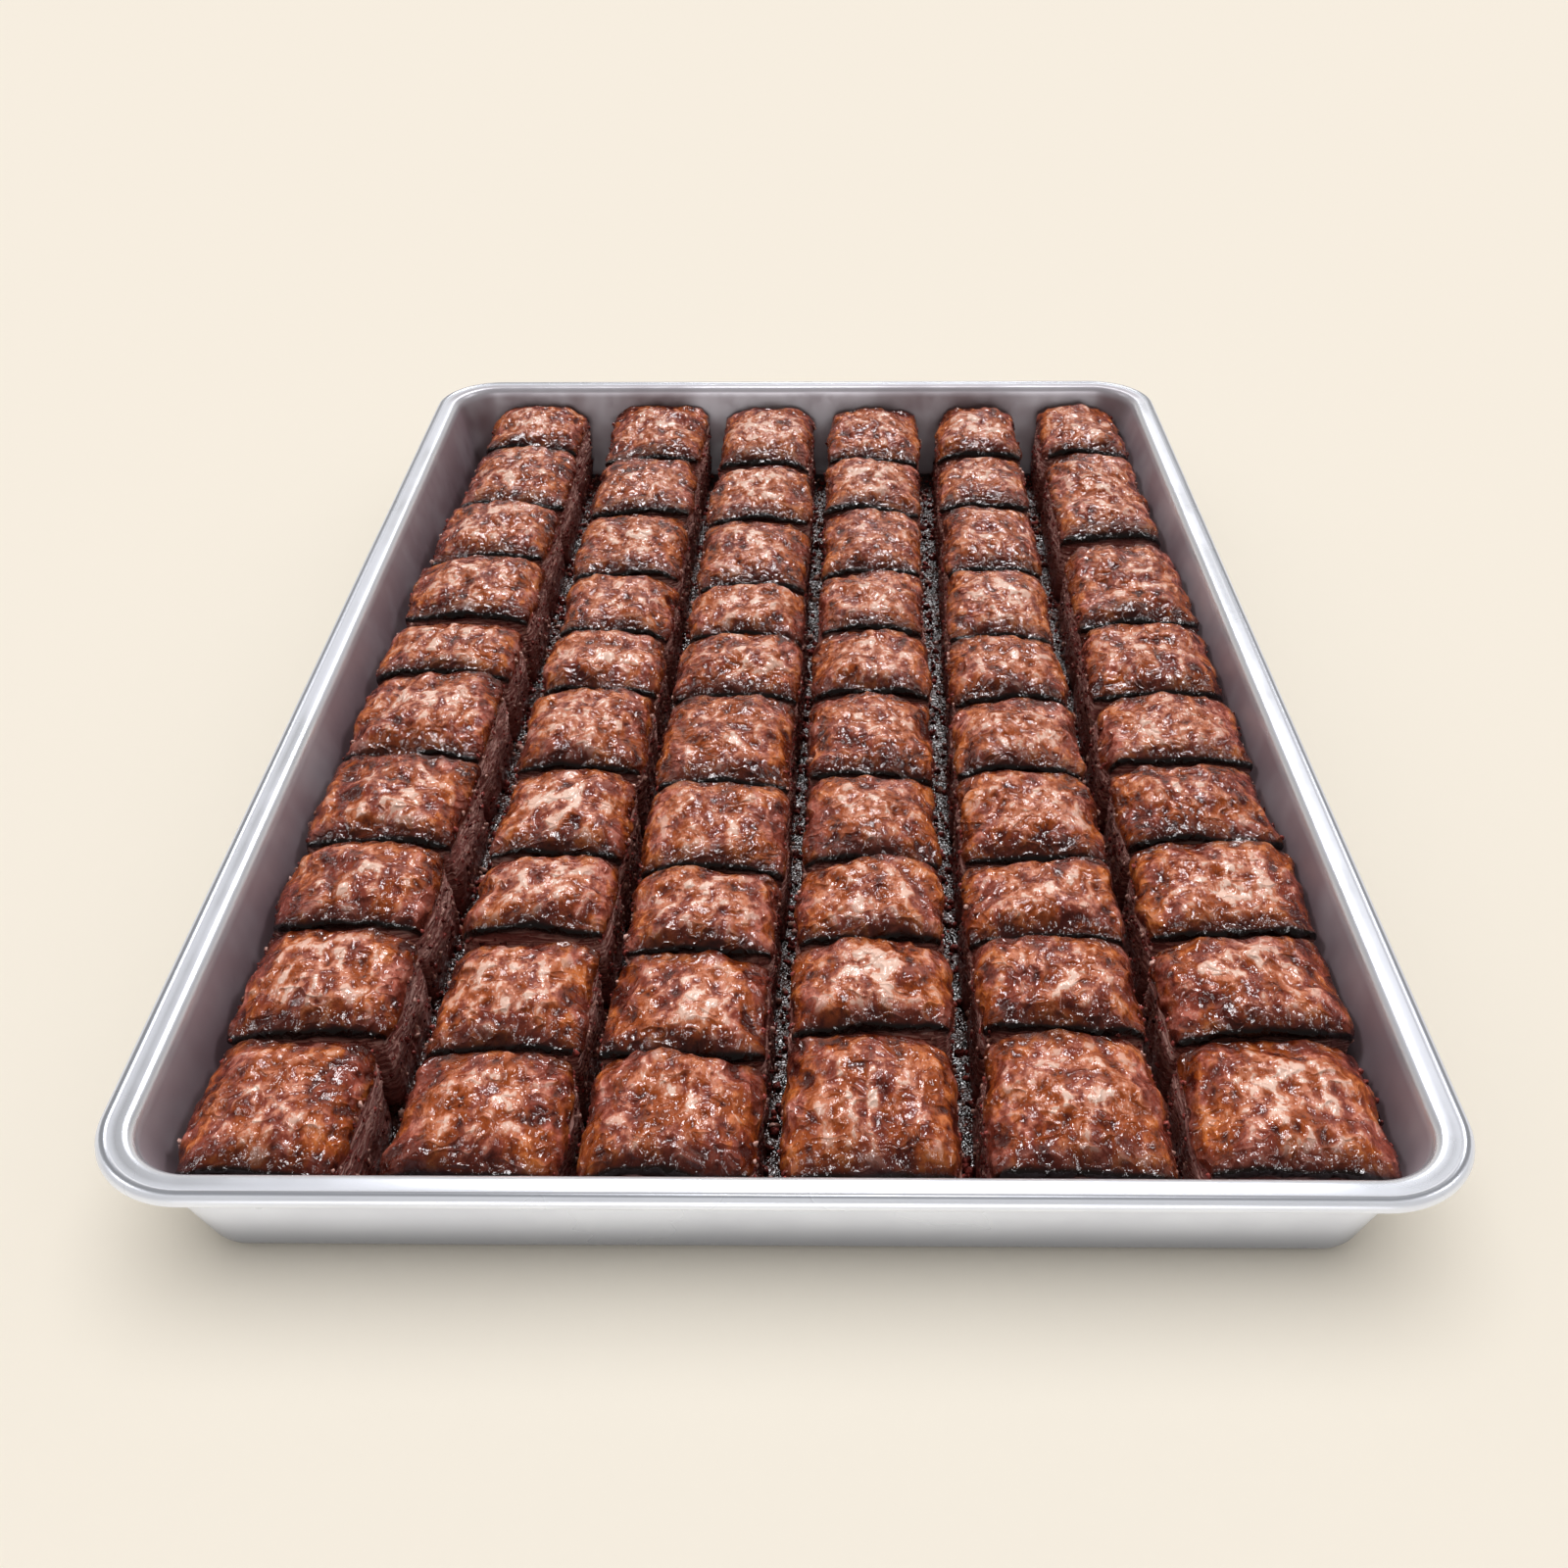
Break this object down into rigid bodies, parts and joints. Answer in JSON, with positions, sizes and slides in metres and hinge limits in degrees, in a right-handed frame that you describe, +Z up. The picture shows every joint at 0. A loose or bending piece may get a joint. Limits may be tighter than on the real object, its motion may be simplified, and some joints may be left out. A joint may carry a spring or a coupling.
{
  "type": "tray of chocolate baklava",
  "caption": "Rectangular metal baking tray with a rolled rim, filled with rows of glossy chocolate baklava cut into pillow-shaped pieces.",
  "frame": {"origin": "middle of the tray's underside, on the surface that the tray stands on", "axes": "+Z up, the columns of pieces and the tray's long sides run along Y, and the front of the tray, nearest the viewer of the picture, is at -Y"},
  "size_m": [0.4, 0.6, 0.05],
  "materials": {
    "tray_metal": "satin",
    "glazed_pastry": "gloss"
  },
  "bodies": {
    "root": {"tray": "tray_metal", "baklava_c1_r01": "glazed_pastry", "baklava_c1_r02": "glazed_pastry", "baklava_c1_r03": "glazed_pastry", "baklava_c1_r04": "glazed_pastry", "baklava_c1_r05": "glazed_pastry", "baklava_c1_r06": "glazed_pastry", "baklava_c1_r07": "glazed_pastry", "baklava_c1_r08": "glazed_pastry", "baklava_c1_r09": "glazed_pastry", "baklava_c1_r10": "glazed_pastry", "baklava_c2_r01": "glazed_pastry", "baklava_c2_r02": "glazed_pastry", "baklava_c2_r03": "glazed_pastry", "baklava_c2_r04": "glazed_pastry", "baklava_c2_r05": "glazed_pastry", "baklava_c2_r06": "glazed_pastry", "baklava_c2_r07": "glazed_pastry", "baklava_c2_r08": "glazed_pastry", "baklava_c2_r09": "glazed_pastry", "baklava_c2_r10": "glazed_pastry", "baklava_c3_r01": "glazed_pastry", "baklava_c3_r02": "glazed_pastry", "baklava_c3_r03": "glazed_pastry", "baklava_c3_r04": "glazed_pastry", "baklava_c3_r05": "glazed_pastry", "baklava_c3_r06": "glazed_pastry", "baklava_c3_r07": "glazed_pastry", "baklava_c3_r08": "glazed_pastry", "baklava_c3_r09": "glazed_pastry", "baklava_c3_r10": "glazed_pastry", "baklava_c4_r01": "glazed_pastry", "baklava_c4_r02": "glazed_pastry", "baklava_c4_r03": "glazed_pastry", "baklava_c4_r04": "glazed_pastry", "baklava_c4_r05": "glazed_pastry", "baklava_c4_r06": "glazed_pastry", "baklava_c4_r07": "glazed_pastry", "baklava_c4_r08": "glazed_pastry", "baklava_c4_r09": "glazed_pastry", "baklava_c4_r10": "glazed_pastry", "baklava_c5_r01": "glazed_pastry", "baklava_c5_r02": "glazed_pastry", "baklava_c5_r03": "glazed_pastry", "baklava_c5_r04": "glazed_pastry", "baklava_c5_r05": "glazed_pastry", "baklava_c5_r06": "glazed_pastry", "baklava_c5_r07": "glazed_pastry", "baklava_c5_r08": "glazed_pastry", "baklava_c5_r09": "glazed_pastry", "baklava_c5_r10": "glazed_pastry", "baklava_c6_r01": "glazed_pastry", "baklava_c6_r02": "glazed_pastry", "baklava_c6_r03": "glazed_pastry", "baklava_c6_r04": "glazed_pastry", "baklava_c6_r05": "glazed_pastry", "baklava_c6_r06": "glazed_pastry", "baklava_c6_r07": "glazed_pastry", "baklava_c6_r08": "glazed_pastry", "baklava_c6_r09": "glazed_pastry"}
  },
  "joints": []
}
